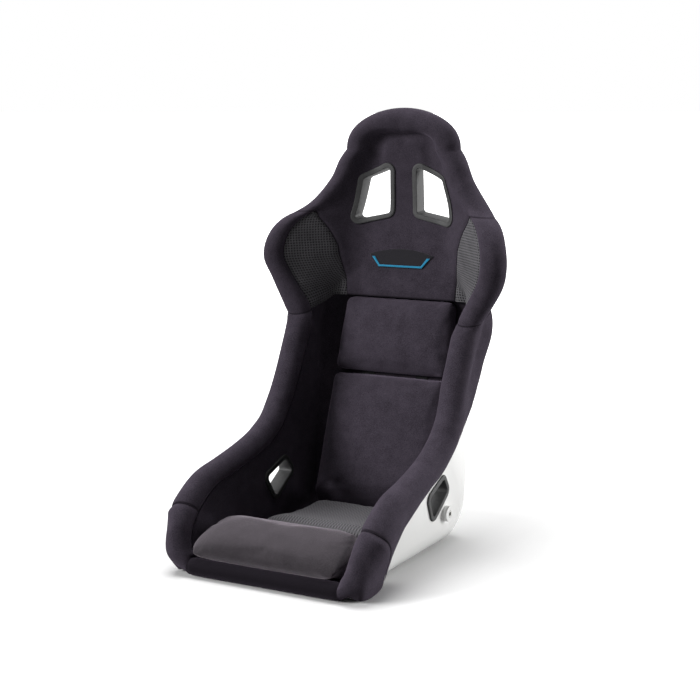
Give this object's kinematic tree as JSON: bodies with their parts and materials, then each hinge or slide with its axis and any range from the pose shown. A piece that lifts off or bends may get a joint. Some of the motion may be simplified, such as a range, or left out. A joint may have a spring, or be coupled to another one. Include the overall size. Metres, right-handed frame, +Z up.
{
  "type": "racing bucket seat",
  "caption": "Fixed-back racing bucket seat: white moulded shell, black sewn foam bolsters and cushions, framed harness slots, threaded side mounts.",
  "frame": {"origin": "middle of the box round the seat in plan, on the floor under the shell's base", "axes": "+X the occupant's left, -Y the front the occupant faces, +Z up"},
  "size_m": [0.539, 0.6076, 0.8302],
  "materials": {
    "moulded_shell": "gloss",
    "inserts": "zinc plated",
    "slot_frames": "satin",
    "cover_fabric": "matte velour",
    "cushion_fabric": "matte velour",
    "lining_fabric": "matte",
    "mesh_fabric": "open mesh",
    "ribbed_fabric": "fine ribs",
    "hook_tape": "hook tape",
    "patch": "matte",
    "trim": "satin ribbon"
  },
  "bodies": {
    "root": {"shell": "moulded_shell", "seat_lining": "lining_fabric", "threaded_inserts": "inserts", "torso_bolster_left": "cover_fabric", "torso_bolster_right": "cover_fabric", "nose_left": "cover_fabric", "nose_right": "cover_fabric", "wing_bolster_left": "cover_fabric", "wing_bolster_right": "cover_fabric", "wing_panel_left": "mesh_fabric", "wing_panel_right": "mesh_fabric", "head_cover": "cover_fabric", "front_roll": "cover_fabric", "back_pad_upper": "cushion_fabric", "back_pad_lower": "cushion_fabric", "seat_cushion": "ribbed_fabric", "leg_cushion": "cushion_fabric", "back_hook_strips": "hook_tape", "seat_hook_strips": "hook_tape", "shoulder_slot_frame_left": "slot_frames", "shoulder_slot_frame_right": "slot_frames", "shoulder_slot_ring_left": "slot_frames", "shoulder_slot_ring_right": "slot_frames", "lap_slot_frame_left": "slot_frames", "lap_slot_frame_right": "slot_frames", "lap_slot_ring_left": "slot_frames", "lap_slot_ring_right": "slot_frames", "crotch_slot_frame": "slot_frames", "badge_patch": "patch", "badge_trim": "trim"}
  },
  "joints": []
}
